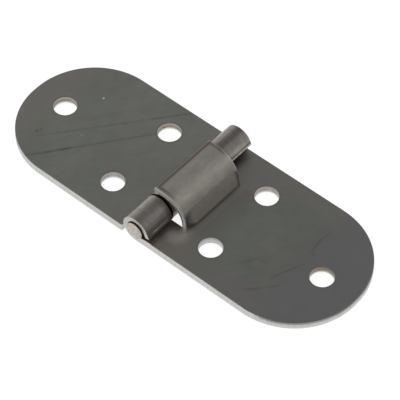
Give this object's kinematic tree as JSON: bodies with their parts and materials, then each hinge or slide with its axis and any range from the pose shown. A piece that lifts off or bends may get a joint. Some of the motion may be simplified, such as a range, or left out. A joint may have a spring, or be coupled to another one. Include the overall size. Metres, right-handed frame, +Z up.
{
  "type": "butt hinge",
  "caption": "Flat sheet-metal butt hinge with round-ended leaves, plain screw holes and a stop tongue arched over the knuckle.",
  "frame": {"origin": "on the leaves' undersides, straight below the pin's axis, at the middle of the hinge's width", "axes": "+X along the leaves towards the end of the right leaf, +Y along the pin, +Z up from the flat undersides towards the knuckles and the stop tongue"},
  "size_m": [0.1014, 0.0392, 0.0098],
  "materials": {
    "left_leaf": "satin",
    "right_leaf": "satin",
    "hinge_pin": "satin"
  },
  "bodies": {
    "fixed_leaf": {"right_leaf": "right_leaf", "hinge_pin": "hinge_pin"},
    "swinging_leaf": {"left_leaf": "left_leaf"}
  },
  "joints": [
    {"name": "leaf_swing", "type": "hinge", "parent": "fixed_leaf", "child": "swinging_leaf", "pos_m": [0, 0, 0.0038], "axis": [0, 1, 0], "range_deg": [0, 85]}
  ]
}
